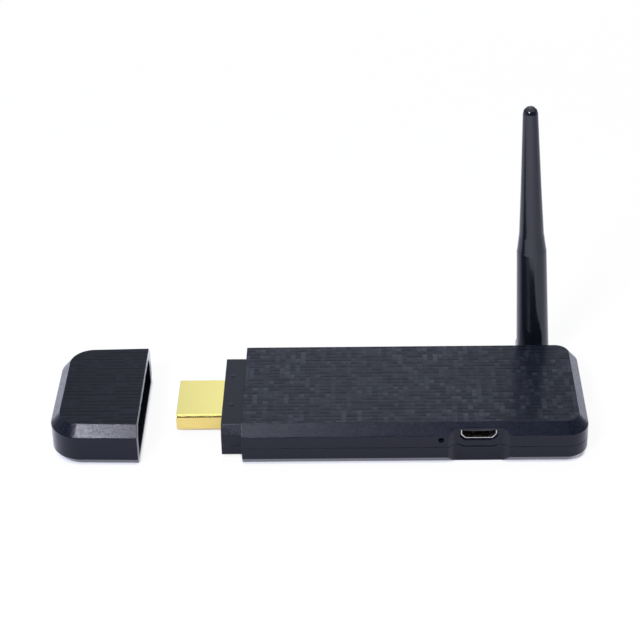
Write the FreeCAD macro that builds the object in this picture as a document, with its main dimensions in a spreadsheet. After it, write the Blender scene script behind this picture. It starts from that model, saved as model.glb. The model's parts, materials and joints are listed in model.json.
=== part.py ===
"""Wireless display dongle: a flat stick with a video plug, a slide-on end cap and a swivel antenna.

Frame: millimetres, origin at the middle of the stick's underside, +X from the plug towards the antenna end,
+Y towards the antenna's side, +Z up. The cap lies pulled off in front of the plug, and the antenna stands.
"""
import FreeCAD, Part
import Sketcher
import math
import os
import re

Vector = FreeCAD.Vector

# Driving dimensions: name, value in millimetres or degrees, meaning
SIZES = [
    ("body_length", 72.0, "stick from shoulder to antenna end"),
    ("body_width", 33.0, "stick across its side walls"),
    ("body_height", 9.2, "stick from underside to top face"),
    ("slope_run", 2.0, "sloped top edge, measured across"),
    ("slope_drop", 2.3, "sloped top edge, measured down"),
    ("foot_inset", 1.07, "how far the underside is drawn in"),
    ("foot_height", 1.5, "height of the drawn-in strip at the underside"),
    ("corner_round", 4.85, "corner radius of the side wall at the antenna end"),
    ("edge_softness", 0.25, "rounding of the sloped edges"),
    ("seam_height", 4.1, "height of the joint line between the shells"),
    ("side_wall", 1.5, "side wall of the shells"),
    ("top_wall", 1.4, "top wall of the upper shell"),
    ("floor_wall", 1.4, "floor of the lower shell"),
    ("neck_length", 4.4, "stepped neck that the cap slides over"),
    ("neck_width", 27.6, "neck across"),
    ("neck_underside", 0.8, "height of the neck's underside"),
    ("neck_height", 6.8, "neck from underside to top"),
    ("neck_slope_run", 1.4, "sloped top edge of the neck, across"),
    ("neck_slope_drop", 2.0, "sloped top edge of the neck, down"),
    ("neck_seam", 3.1, "height of the joint line in the neck"),
    ("neck_pocket", 3.0, "width of the hollow each side of the plug in the neck"),
    ("plug_backing", 1.3, "wall between the plug and that hollow"),
    ("bump_setback", 2.7, "catch bumps on the neck, from the shoulder"),
    ("bump_spread", 11.0, "distance between the two catch bumps"),
    ("bump_radius", 0.9, "radius of a catch bump"),
    ("bump_rise", 0.25, "height of a catch bump above the neck"),
    ("cap_length", 18.6, "end cap along the stick"),
    ("cap_gap", 21.6, "from the pulled-off cap's rim to the shoulder"),
    ("cap_round", 6.9, "corner radius of the cap's side wall at its closed end"),
    ("cap_taper", 1.4, "how far each side of the cap draws in towards its end, in degrees"),
    ("cap_end_wall", 3.9, "closed end of the cap, inside to outside"),
    ("cap_clearance", 0.05, "gap between the cap and the neck"),
    ("plug_width", 13.9, "video plug shell across"),
    ("plug_height", 4.45, "video plug shell height"),
    ("plug_reach", 9.8, "video plug in front of the neck"),
    ("plug_centre", 3.75, "height of the video plug's centre line"),
    ("plug_skin", 0.3, "sheet thickness of the video plug shell"),
    ("plug_corner", 0.6, "upper corner radius of the video plug shell"),
    ("plug_bevel", 1.15, "lower corner bevel of the video plug shell"),
    ("tongue_space", 2.4, "height of the slot in the video plug"),
    ("tongue_floor", 2.6, "height of the slot's floor in the video plug"),
    ("tongue_width", 11.6, "width of the slot in the video plug"),
    ("tongue_depth", 8.2, "depth of the slot in the video plug"),
    ("contact_pitch", 1.0, "pitch of the video plug's contacts"),
    ("contact_width", 0.42, "width of a video plug contact"),
    ("contact_sheet", 0.15, "thickness of a video plug contact"),
    ("board_underside", 4.0, "height of the main board's underside"),
    ("board_sheet", 1.0, "thickness of the main board"),
    ("board_side_gap", 1.2, "gap between the main board and the side walls"),
    ("board_end_gap", 1.3, "gap between the main board and the far end wall"),
    ("board_tab_width", 12.4, "narrow end of the board inside the plug"),
    ("board_tab_length", 2.8, "length of the board's narrow end"),
    ("post_radius", 1.1, "locating posts of the upper shell"),
    ("post_clearance", 0.05, "gap between a post and its socket"),
    ("socket_radius", 2.3, "outside of the sockets on the floor"),
    ("post_end_gap", 7.0, "locating posts from the shoulder and from the antenna end"),
    ("post_side_gap", 4.0, "locating posts from the side walls' inside"),
    ("post_hinge_gap", 8.1, "back locating post from the hinge"),
    ("clip_length", 7.0, "snap clips on the lower shell"),
    ("clip_sheet", 0.75, "thickness of a snap clip"),
    ("clip_rise", 1.3, "height of a snap clip above the joint line"),
    ("clip_nib", 0.3, "how far a clip's nib stands out"),
    ("nib_height", 0.5, "height of that nib"),
    ("clip_end_gap", 10.0, "snap clips at the plug end, from the shoulder"),
    ("clip_pinhole_gap", 13.3, "front snap clip from the pinhole"),
    ("clip_corner_gap", 11.0, "front snap clip from the antenna end"),
    ("clip_hinge_gap", 13.1, "back snap clip from the hinge"),
    ("clip_gap", 0.05, "gap round a snap clip"),
    ("port_setback", 22.9, "middle of the power socket from the antenna end"),
    ("port_z", 6.325, "height of the power socket's middle"),
    ("port_width", 7.9, "power socket opening in the wall"),
    ("port_height", 2.5, "height of that opening"),
    ("port_gap", 0.2, "gap between the socket's shell and the wall, below it and beside it"),
    ("port_top_gap", 0.06, "that gap above the shell"),
    ("recess_depth", 1.1, "recess round the power socket"),
    ("recess_width", 10.1, "flat bottom of the recess"),
    ("recess_mouth", 12.7, "recess at the side wall"),
    ("recess_round", 0.9, "rounding between the recess's bottom and its sides"),
    ("recess_backing", 1.2, "wall left behind the recess"),
    ("seam_dip", 0.45, "how far the joint line dips under the socket"),
    ("dip_run", 0.75, "how long the joint line takes to dip"),
    ("dip_gap", 0.16, "how far the joint line stands open under the socket"),
    ("pinhole_spacing", 7.8, "reset pinhole from the middle of the power socket"),
    ("pinhole_z", 5.87, "height of the reset pinhole"),
    ("pinhole_radius", 0.6, "radius of the reset pinhole"),
    ("reset_travel", 0.25, "travel of the reset button"),
    ("hinge_setback", 8.9, "antenna hinge from the antenna end"),
    ("hinge_z", 4.1, "height of the antenna hinge"),
    ("hinge_gap", 0.2, "gap between the side wall and the antenna's knuckle"),
    ("hinge_radius", 2.2, "hinge pin radius"),
    ("hinge_bore", 1.0, "bore through the hinge pin for the lead"),
    ("hinge_clearance", 0.05, "running gap round the hinge pin"),
    ("hinge_flange", 2.6, "radius of the hinge pin's flange"),
    ("flange_sheet", 0.7, "thickness of that flange"),
    ("washer_sheet", 0.4, "thickness of the friction washer"),
    ("knuckle_softness", 0.5, "rounding of the knuckle's rims"),
    ("antenna_lean", 2.67, "lean of the standing antenna towards the plug, in degrees"),
    ("knuckle_radius", 3.6, "knuckle of the antenna"),
    ("sleeve_root_width", 7.1, "antenna sleeve just above the knuckle"),
    ("sleeve_waist_width", 6.4, "antenna sleeve below its shoulder"),
    ("sleeve_neck_width", 5.3, "antenna sleeve above its shoulder"),
    ("sleeve_tip_width", 3.2, "antenna sleeve at its rounded tip"),
    ("waist_height", 25.7, "start of the shoulder, from the hinge"),
    ("shoulder_height", 30.0, "end of the shoulder, from the hinge"),
    ("antenna_height", 59.85, "tip of the antenna, from the hinge"),
    ("sleeve_bore", 1.9, "radius of the sleeve's lower bore"),
    ("whip_bore", 1.1, "radius of the sleeve's upper bore"),
    ("lower_bore_top", 27.0, "top of the sleeve's lower bore, from the hinge"),
    ("whip_setback", 6.4, "from the top of the whip to the antenna's tip"),
    ("whip_overlap", 0.4, "how far the whip reaches into the lower bore"),
    ("lead_turn", 4.6, "where the lead turns down to the hinge, in front of the flange"),
    ("lead_straight", 1.4, "straight stretch of the lead in front of the flange"),
    ("notch_gap", 0.8, "gap between the board's notch and the hinge pin's flange"),
    ("lead_radius", 0.565, "radius of the antenna's coaxial lead"),
    ("cover_radius", 2.7, "cover in the back of the knuckle"),
    ("cover_sheet", 1.0, "thickness of that cover"),
    ("cover_gap", 0.03, "gap round that cover"),
    ("tube_gap", 0.15, "gap between the sleeve and the ground tube"),
    ("tube_wall", 0.3, "wall of the ground tube"),
    ("tube_start", 4.0, "foot of the ground tube, from the hinge"),
    ("ring_length", 2.0, "crimp ring along the antenna"),
    ("whip_radius", 0.5, "radius of the whip"),
    ("bead_length", 3.0, "beads that hold the whip"),
    ("bead_gap", 0.05, "gap between a bead and the sleeve"),
    ("processor_x", -6.0, "middle of the processor"),
    ("processor_y", 1.5, "the same, across"),
    ("processor_side", 12.0, "processor, square"),
    ("processor_height", 1.1, "height of the processor"),
    ("gel_inset", 0.5, "how far the thermal pad stays inside the processor"),
    ("gel_sheet", 0.5, "thickness of the thermal pad"),
    ("spreader_length", 17.0, "heat spreader along the stick"),
    ("spreader_width", 18.0, "heat spreader across"),
    ("spreader_gap", 0.15, "gap between the heat spreader and the ceiling"),
    ("spreader_plate", 0.6, "plate under the heat spreader's grooves"),
    ("groove_width", 1.8, "grooves of the heat spreader"),
    ("groove_pitch", 3.3, "pitch of those grooves"),
    ("memory_x", 5.6, "middle of the memory chip"),
    ("memory_length", 7.6, "memory chip along the stick"),
    ("memory_width", 10.6, "memory chip across"),
    ("flash_x", -20.0, "middle of the flash chip"),
    ("flash_y", 6.6, "the same, across"),
    ("flash_length", 8.0, "flash chip along the stick"),
    ("flash_width", 5.4, "flash chip across"),
    ("chip_height", 1.0, "height of the memory and flash chips"),
    ("crystal_x", -16.2, "middle of the clock crystal"),
    ("crystal_y", -2.2, "the same, across"),
    ("crystal_length", 3.2, "clock crystal along the stick"),
    ("crystal_width", 2.5, "clock crystal across"),
    ("crystal_height", 0.8, "height of the clock crystal"),
    ("module_setback", 12.8, "middle of the wireless module from the antenna end"),
    ("module_y", -3.4, "the same, across"),
    ("module_length", 12.0, "wireless module along the stick"),
    ("module_width", 9.6, "wireless module across"),
    ("module_sheet", 0.6, "thickness of the wireless module's board"),
    ("shield_inset_x", 0.6, "margin of the module's board beyond its shield, along"),
    ("shield_inset_y", 0.6, "the same, across"),
    ("shield_height", 1.4, "height of the shield"),
    ("shield_sheet", 0.2, "sheet thickness of the shield"),
    ("board_grid", 1.0, "grid that the board's small parts sit on"),
    ("capacitor_length", 1.6, "ceramic capacitor, long side"),
    ("capacitor_width", 0.8, "ceramic capacitor, short side"),
    ("capacitor_height", 0.8, "height of a ceramic capacitor"),
    ("inductor_side", 3.0, "power inductor, square"),
    ("inductor_height", 1.5, "height of a power inductor"),
    ("socket_depth", 5.4, "power socket's shell, front to back"),
    ("socket_skin", 0.25, "sheet thickness of the power socket's shell"),
    ("socket_bevel", 0.95, "lower corner bevel of the power socket's shell"),
    ("socket_back", 0.3, "rear wall of the power socket's shell"),
    ("socket_setback", 0.45, "how far the shell stays behind the recess's bottom"),
    ("leg_spread", 6.4, "distance between the legs of the power socket"),
    ("leg_width", 1.0, "width of such a leg"),
    ("blade_width", 4.6, "blade in the power socket"),
    ("blade_sheet", 0.55, "thickness of that blade"),
    ("blade_drop", 0.55, "from the shell's top to the blade"),
    ("blade_setback", 0.9, "how far the blade stays behind the shell's mouth"),
    ("block_width", 5.2, "block that carries the blade"),
    ("block_length", 1.3, "that block, front to back"),
    ("socket_pitch", 0.65, "pitch of the power socket's contacts"),
    ("socket_contact", 0.34, "width of such a contact"),
    ("socket_contact_sheet", 0.1, "thickness of such a contact"),
    ("switch_width", 4.2, "reset switch along the stick"),
    ("switch_length", 3.0, "reset switch across the stick"),
    ("switch_setback", 0.6, "reset switch behind the board's edge"),
    ("switch_plate", 0.15, "sheet thickness of the switch's cover plate"),
    ("button_width", 2.1, "reset button"),
    ("button_height", 0.9, "height of the reset button"),
    ("button_reach", 0.6, "reset button in front of its switch"),
    ("button_room", 1.2, "depth of the button's slot in the switch"),
    ("button_gap", 0.05, "gap round the reset button"),
    ("lead_plug_gap", 10.1, "middle of the lead's plug from the hinge"),
    ("lead_plug_y", 5.0, "the same, across"),
    ("lead_plug_radius", 1.35, "lead's plug"),
    ("lead_plug_height", 0.95, "height of the lead's plug"),
    ("crimp_length", 3.2, "crimp of the lead's plug, from its middle"),
    ("crimp_width", 1.5, "width of that crimp"),
    ("jack_side", 2.6, "base of the jack, square"),
    ("jack_base", 0.35, "height of the jack's base"),
    ("jack_radius", 0.95, "barrel of the jack"),
    ("jack_bore", 0.7, "radius of the jack's bore"),
]

# Sizes worked out from the driving ones
WORKED_OUT = {
    "half_length": "body_length / 2",
    "half_width": "body_width / 2",
    "shoulder_x": "-half_length",
    "far_x": "half_length",
    "slope_foot": "body_height - slope_drop",
    "inner_half": "half_width - side_wall",
    "clip_top": "seam_height + clip_rise",
    "clip_left_x": "shoulder_x + clip_end_gap",
    "clip_front_x": "pinhole_x - clip_pinhole_gap",
    "clip_corner_x": "far_x - clip_corner_gap",
    "clip_back_x": "(clip_left_x + clip_hinge_x) / 2",
    "clip_hinge_x": "hinge_x - clip_hinge_gap",
    "post_left_x": "shoulder_x + post_end_gap",
    "post_right_x": "far_x - post_end_gap",
    "post_back_x": "hinge_x - post_hinge_gap",
    "post_y": "inner_half - post_side_gap",
    "hinge_x": "far_x - hinge_setback",
    "port_x": "far_x - port_setback",
    "pinhole_x": "port_x - pinhole_spacing",
    "module_x": "far_x - module_setback",
    "lead_plug_x": "hinge_x - lead_plug_gap",
    "whip_top": "antenna_height - whip_setback",
    "inner_left": "shoulder_x + side_wall",
    "inner_right": "far_x - side_wall",
    "inner_top": "body_height - top_wall",
    "inner_round": "corner_round - side_wall",
    "inner_break": "slope_foot - 0.15",
    "inner_step": "(inner_top - inner_break) * slope_run / slope_drop",
    "neck_x": "shoulder_x - neck_length",
    "neck_half": "neck_width / 2",
    "neck_top": "neck_underside + neck_height",
    "plug_half": "plug_width / 2",
    "plug_low": "plug_centre - plug_height / 2",
    "plug_top": "plug_centre + plug_height / 2",
    "plug_tip": "neck_x - plug_reach",
    "plug_back": "inner_left + 0.2",
    "slot_top": "tongue_floor + tongue_space",
    "board_top": "board_underside + board_sheet",
    "board_left": "inner_left + 0.3",
    "board_right": "inner_right - board_end_gap",
    "board_half": "inner_half - board_side_gap",
    "socket_face": "-half_width + recess_depth",
    "backing_face": "socket_face + recess_backing",
    "backing_left": "port_x - recess_mouth / 2 - 0.3",
    "backing_right": "port_x + recess_mouth / 2 + 0.3",
    "pin_tip_y": "half_width + hinge_gap + knuckle_radius - sleeve_bore",
    "hinge_y": "half_width + hinge_gap + knuckle_radius",
    "washer_y": "inner_half - washer_sheet",
    "flange_y": "washer_y - flange_sheet",
    "tab_end": "board_left - board_tab_length",
    "processor_top": "board_top + processor_height",
    "gel_top": "processor_top + gel_sheet",
    "module_top": "board_top + module_sheet",
    "socket_front": "socket_face + socket_setback",
    "socket_back_y": "socket_front + socket_depth",
    "socket_half": "port_width / 2 - port_gap",
    "socket_low": "port_z - port_height / 2 + port_gap",
    "socket_top": "port_z + port_height / 2 - port_top_gap",
    "switch_front": "-board_half + switch_setback",
    "switch_back": "switch_front + switch_length",
    "switch_top": "2 * pinhole_z - board_top",
    "contact_tip": "plug_tip + 1.2",
    "whip_foot": "lower_bore_top - whip_overlap",
    "lead_turn_y": "flange_y - lead_turn",
    "lead_plug_low": "board_top + jack_base + 0.05",
    "lead_level": "lead_plug_low + lead_radius + 0.05",
    "cap_rim": "shoulder_x - cap_gap",
    "cap_end": "cap_rim - cap_length",
    "cap_half": "half_width - (cap_length - cap_round + cap_round * sin(cap_taper)) * tan(cap_taper)"
                " + cap_round * (1 - cos(cap_taper))",
    "cavity_low": "neck_underside - cap_clearance",
    "cavity_top": "neck_top + cap_clearance",
}

PARTS_FOLDER = "parts"
NEGLIGIBLE = 1e-6

doc = FreeCAD.newDocument("display_dongle")
sheet = doc.addObject("Spreadsheet::Sheet", "sizes")
for row, (alias, value, meaning) in enumerate(SIZES, start=1):
    sheet.set(f"A{row}", str(value))
    sheet.setAlias(f"A{row}", alias)
    sheet.set(f"B{row}", meaning)
doc.recompute()

SHEET_NAMES = {alias for alias, value, meaning in SIZES}
nodes = {}


def formula(text):
    """Turn plain names into an expression on the sheet."""
    def replace(match):
        word = match.group(0)
        if word in WORKED_OUT:
            return "(" + formula(WORKED_OUT[word]) + ")"
        if word in SHEET_NAMES:
            return "sizes." + word
        return word
    return re.sub(r"[a-z_]{3,}", replace, str(text))


def number(text):
    """Work out the present value of a formula."""
    result = sheet.evalExpression(formula(text))
    return float(getattr(result, "Value", result))


def bind(item, **settings):
    """Bind properties of an object to formulas."""
    for name, text in settings.items():
        item.setExpression(name, formula(text))


def put(item, x=0, y=0, z=0):
    """Bind an object's position to formulas."""
    for letter, text in zip("xyz", (x, y, z)):
        item.setExpression(f"Placement.Base.{letter}", formula(text))


def keep(node, item):
    """Register an object as one of the part's pieces."""
    item.Label = node
    nodes[node] = item
    return item


def new_body(name):
    return doc.addObject("PartDesign::Body", name)


def origin_plane(body, role):
    return next(item for item in body.Origin.OriginFeatures if item.Role == role)


def new_sketch(body, name, role, offset):
    """Add an empty sketch on one of the body's own planes."""
    sketch = body.newObject("Sketcher::SketchObject", name)
    sketch.AttachmentSupport = (origin_plane(body, role), [""])
    sketch.MapMode = "FlatFace"
    sketch.setExpression("AttachmentOffset.Base.z", formula(offset))
    return sketch


def pin_point(sketch, edge, end, along, up):
    """Fix a point of a sketch by two formulas."""
    for kind, text in (("DistanceX", along), ("DistanceY", up)):
        index = sketch.addConstraint(Sketcher.Constraint(kind, -1, 1, edge, end, number(text)))
        sketch.setExpression(f"Constraints[{index}]", formula(text))


def rounded(x, y, radius, side_x, side_y, first):
    """A rounded square corner as start, end and middle of its arc.

    The signs point from the corner to the middle, and first says along which axis the outline arrives.
    """
    moved_x = f"{x} + ({side_x}) * ({radius})"
    moved_y = f"{y} + ({side_y}) * ({radius})"
    start, end = (moved_x, y), (x, moved_y)
    if first == "y":
        start, end = end, start
    return start, end, (moved_x, moved_y)


def spot(pair):
    return Vector(number(pair[0]), number(pair[1]), 0)


def add_arc(sketch, start, end, middle):
    """Add the short arc between two points and say which of its ends is its start."""
    radius = (start - middle).Length
    outward = (start + end - middle * 2).normalize()
    edge = sketch.addGeometry(Part.Arc(start, middle + outward * radius, end), False)
    arc = sketch.Geometry[edge]
    turned = (arc.StartPoint - start).Length > (arc.EndPoint - start).Length
    return edge, (2, 1) if turned else (1, 2)


def outline(body, name, role, offset, corners):
    """Add a closed outline of corners, each a point or an arc's start, end and middle."""
    sketch = new_sketch(body, name, role, offset)
    edges = []
    for index, corner in enumerate(corners):
        is_arc = len(corner) == 3
        if is_arc:
            edge, ends = add_arc(sketch, *[spot(pair) for pair in corner])
            edges.append((edge, ends, corner[0]))
            middle = sketch.addConstraint(
                Sketcher.Constraint("DistanceX", -1, 1, edge, 3, number(corner[2][0])))
            sketch.setExpression(f"Constraints[{middle}]", formula(corner[2][0]))
        leaving = corner[1] if is_arc else corner
        following = corners[(index + 1) % len(corners)]
        arriving = following[0] if len(following) == 3 else following
        edge = sketch.addGeometry(Part.LineSegment(spot(leaving), spot(arriving)), False)
        edges.append((edge, (1, 2), leaving))
    for index, (edge, ends, start) in enumerate(edges):
        following, next_ends, next_start = edges[(index + 1) % len(edges)]
        sketch.addConstraint(Sketcher.Constraint("Coincident", edge, ends[1], following, next_ends[0]))
        pin_point(sketch, edge, ends[0], *start)
    return sketch


def pad(body, sketch, length, backwards=False):
    item = body.newObject("PartDesign::Pad", sketch.Name + "_pad")
    item.Profile = (sketch, [""])
    bind(item, Length=length)
    item.Reversed = backwards
    return item


def pocket(body, sketch, length, backwards=False):
    item = body.newObject("PartDesign::Pocket", sketch.Name + "_pocket")
    item.Profile = (sketch, [""])
    bind(item, Length=length)
    item.Reversed = backwards
    return item


def revolve(body, sketch):
    """Turn a sketch about its own upright axis."""
    item = body.newObject("PartDesign::Revolution", sketch.Name + "_turned")
    item.Profile = (sketch, [""])
    item.ReferenceAxis = (sketch, ["V_Axis"])
    item.Angle = 360
    return item


TURNS = {"x": FreeCAD.Rotation(Vector(0, 1, 0), 90), "y": FreeCAD.Rotation(Vector(1, 0, 0), -90),
         "z": FreeCAD.Rotation()}


def merged(name, items):
    """Join objects into one, or pass a single object through."""
    if len(items) == 1:
        return items[0]
    whole = doc.addObject("Part::MultiFuse", name)
    whole.Shapes = items
    return whole


class Workpiece:
    """A piece in the making: what is joined to it and what is cut from it."""

    def __init__(self, node, *start):
        self.node = node
        self.joined = list(start)
        self.cuts = []

    def add(self, item, cut=False):
        (self.cuts if cut else self.joined).append(item)
        return item

    def block(self, name, low, high, cut=False):
        """Add or cut a box between two corners given as formulas."""
        return self.add(plain_box(name, low, high), cut)

    def rod(self, name, base, radius, length, along="z", cut=False):
        """Add or cut a cylinder from a base point along an axis."""
        item = doc.addObject("Part::Cylinder", name)
        item.Placement = FreeCAD.Placement(Vector(), TURNS[along])
        bind(item, Radius=radius, Height=length)
        put(item, *base)
        return self.add(item, cut)

    def finish(self):
        whole = merged(self.node + "_joined", self.joined)
        if self.cuts:
            tool = merged(self.node + "_cuts", self.cuts)
            result = doc.addObject("Part::Cut", self.node + "_cut")
            result.Base = whole
            result.Tool = tool
            result.Refine = True
            whole = result
        return keep(self.node, whole)


def plain_box(name, low, high):
    """Make a box between two corners given as formulas."""
    item = doc.addObject("Part::Box", name)
    bind(item, Length=f"({high[0]}) - ({low[0]})", Width=f"({high[1]}) - ({low[1]})",
         Height=f"({high[2]}) - ({low[2]})")
    put(item, *low)
    return item


def compound(node, items):
    """Keep several solids as one piece."""
    group = doc.addObject("Part::Compound", node + "_group")
    group.Links = items
    keep(node, group)


# Outlines in plan

def stick_outline(body, name):
    """The stick seen from above: flat at the shoulder, round at the antenna end."""
    return outline(body, name, "XY_Plane", "0", [
        ("shoulder_x", "-half_width"),
        rounded("far_x", "-half_width", "corner_round", -1, 1, "x"),
        rounded("far_x", "half_width", "corner_round", -1, -1, "y"),
        ("shoulder_x", "half_width"),
    ])


def cap_outline(body, name):
    """The cap seen from above: flat at the rim, round at its closed end, its sides drawn in a little."""
    middle_x = "cap_end + cap_round"
    middle_y = "cap_half - cap_round"
    touch_x = f"{middle_x} - cap_round * sin(cap_taper)"
    touch_y = f"{middle_y} + cap_round * cos(cap_taper)"
    rim_half = f"{touch_y} + (cap_rim - ({touch_x})) * tan(cap_taper)"
    back = ((touch_x, touch_y), ("cap_end", middle_y), (middle_x, middle_y))
    front = (("cap_end", f"-({middle_y})"), (touch_x, f"-({touch_y})"), (middle_x, f"-({middle_y})"))
    return outline(body, name, "XY_Plane", "0", [
        ("cap_rim", f"-({rim_half})"),
        ("cap_rim", rim_half),
        back,
        front,
    ])


def level_edges(shape, level, open_x):
    """Name the outside edges that lie level at a height, but for those along the flat open face."""
    names = []
    for index, edge in enumerate(shape.Edges, start=1):
        box = edge.BoundBox
        at_level = box.ZLength < NEGLIGIBLE and abs(box.ZMin - level) < NEGLIGIBLE
        on_face = box.XLength < NEGLIGIBLE and abs(box.XMin - open_x) < NEGLIGIBLE
        if at_level and not on_face:
            names.append(f"Edge{index}")
    return names


def outer_skin(body, shape, open_face):
    """Raise an outline to full height, slope its upper and lower edges and soften what they leave."""
    pad(body, shape, "body_height")
    open_x = number(open_face)
    slopes = (("body_height", "slope_drop", "slope_run"), ("0", "foot_height", "foot_inset"))
    for level, down, inwards in slopes:
        doc.recompute()
        base = body.Tip
        slope = body.newObject("PartDesign::Chamfer", f"{body.Name}_slope")
        slope.Base = (base, level_edges(base.Shape, number(level), open_x))
        slope.ChamferType = "Two distances"
        bind(slope, Size=down, Size2=inwards)
    for level in ("body_height", "slope_foot", "foot_height"):
        doc.recompute()
        base = body.Tip
        soft = body.newObject("PartDesign::Fillet", f"{body.Name}_soft")
        soft.Base = (base, level_edges(base.Shape, number(level), open_x))
        bind(soft, Radius="edge_softness")
    doc.recompute()


def room_outline(body, name, height, inset):
    """The room inside the shells seen from above."""
    half = f"inner_half - {inset}"
    return outline(body, name, "XY_Plane", height, [
        ("inner_left", f"-({half})"),
        rounded(f"inner_right - {inset}", f"-({half})", "inner_round", -1, 1, "x"),
        rounded(f"inner_right - {inset}", half, "inner_round", -1, -1, "y"),
        ("inner_left", half),
    ])


def neck_outline(body, name, offset, low, gap=0):
    """The neck's section: straight sides and sloped upper corners."""
    half = f"neck_half + {gap}"
    top = f"neck_top + {gap}"
    return outline(body, name, "YZ_Plane", offset, [
        (f"-({half})", low),
        (half, low),
        (half, f"{top} - neck_slope_drop"),
        (f"{half} - neck_slope_run", top),
        (f"-({half}) + neck_slope_run", top),
        (f"-({half})", f"{top} - neck_slope_drop"),
    ])


# Cuts that both shells share

def socket_section(body, name, offset, inset, top):
    """The power socket's section, bevelled below."""
    half = f"socket_half - {inset}"
    low = f"socket_low + {inset}"
    bevel = f"socket_bevel - {inset} * 0.4"
    return outline(body, name, "XZ_Plane", offset, [
        (f"port_x - ({half}) + ({bevel})", low),
        (f"port_x + ({half}) - ({bevel})", low),
        (f"port_x + ({half})", f"{low} + ({bevel})"),
        (f"port_x + ({half})", top),
        (f"port_x - ({half})", top),
        (f"port_x - ({half})", f"{low} + ({bevel})"),
    ])


def dip_outline(body, name, offset, above, drop="0"):
    """The dip in the joint line under the power socket, with sloped ends."""
    half = "port_width / 2"
    return outline(body, name, "XZ_Plane", offset, [
        (f"port_x - {half} + dip_run", f"seam_height - seam_dip - {drop}"),
        (f"port_x + {half} - dip_run", f"seam_height - seam_dip - {drop}"),
        (f"port_x + {half} + {drop}", "seam_height"),
        *([(f"port_x + {half} + {drop}", f"seam_height + {above}"),
           (f"port_x - {half} - {drop}", f"seam_height + {above}")] if above != "0" else []),
        (f"port_x - {half} - {drop}", "seam_height"),
    ])


def recess_tool():
    """The recess round the power socket, as a body to cut both shells with."""
    body = new_body("recess_tool")
    outer = "-half_width - 0.5"
    slant = "(recess_mouth - recess_width) / 2 / recess_depth"
    mouth = f"recess_mouth / 2 + 0.5 * {slant}"
    shape = outline(body, "recess_outline", "XY_Plane", "-1", [
        (f"port_x - ({mouth})", outer),
        (f"port_x + ({mouth})", outer),
        ("port_x + recess_width / 2", "socket_face"),
        ("port_x - recess_width / 2", "socket_face"),
    ])
    block = pad(body, shape, "body_height + 2")
    doc.recompute()
    face_y = number("socket_face")
    inner_edges = [f"Edge{index}" for index, edge in enumerate(block.Shape.Edges, start=1)
                   if edge.BoundBox.ZLength > 1 and abs(edge.BoundBox.YMax - face_y) < NEGLIGIBLE]
    soft = body.newObject("PartDesign::Fillet", "recess_soft")
    soft.Base = (block, inner_edges)
    bind(soft, Radius="recess_round")
    return body


def cut_plug_way(work):
    """The way through the neck for the video plug, with the hollows beside it."""
    name = work.node
    work.block(name + "_plug_way", ("neck_x - 1", "-plug_half", "plug_low"),
               ("inner_left + 1", "plug_half", "plug_top"), cut=True)
    starts = (("front", "-plug_half - plug_backing - neck_pocket"), ("back", "plug_half + plug_backing"))
    for side, low in starts:
        work.block(f"{name}_{side}_hollow", ("neck_x + side_wall", low, "neck_underside + side_wall"),
                   ("inner_left + 1", f"{low} + neck_pocket", "neck_top - side_wall"), cut=True)


def cut_hinge_seat(work):
    work.rod(work.node + "_hinge_seat", ("hinge_x", "inner_half - 1", "hinge_z"),
             "hinge_radius + hinge_clearance", "side_wall + 2", "y", cut=True)


CLIPS = [("front", "clip_left_x"), ("front", "clip_front_x"), ("front", "clip_corner_x"),
         ("back", "clip_left_x"), ("back", "clip_back_x"), ("back", "clip_hinge_x")]


def clip_box(side, near, far):
    """Turn distances from the middle plane into low and high formulas for one side."""
    return (f"-({far})", f"-({near})") if side == "front" else (near, far)


POSTS = [("post_left_x", "post_y"), ("post_left_x", "-post_y"),
         ("post_right_x", "-post_y"), ("post_back_x", "post_y")]


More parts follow.
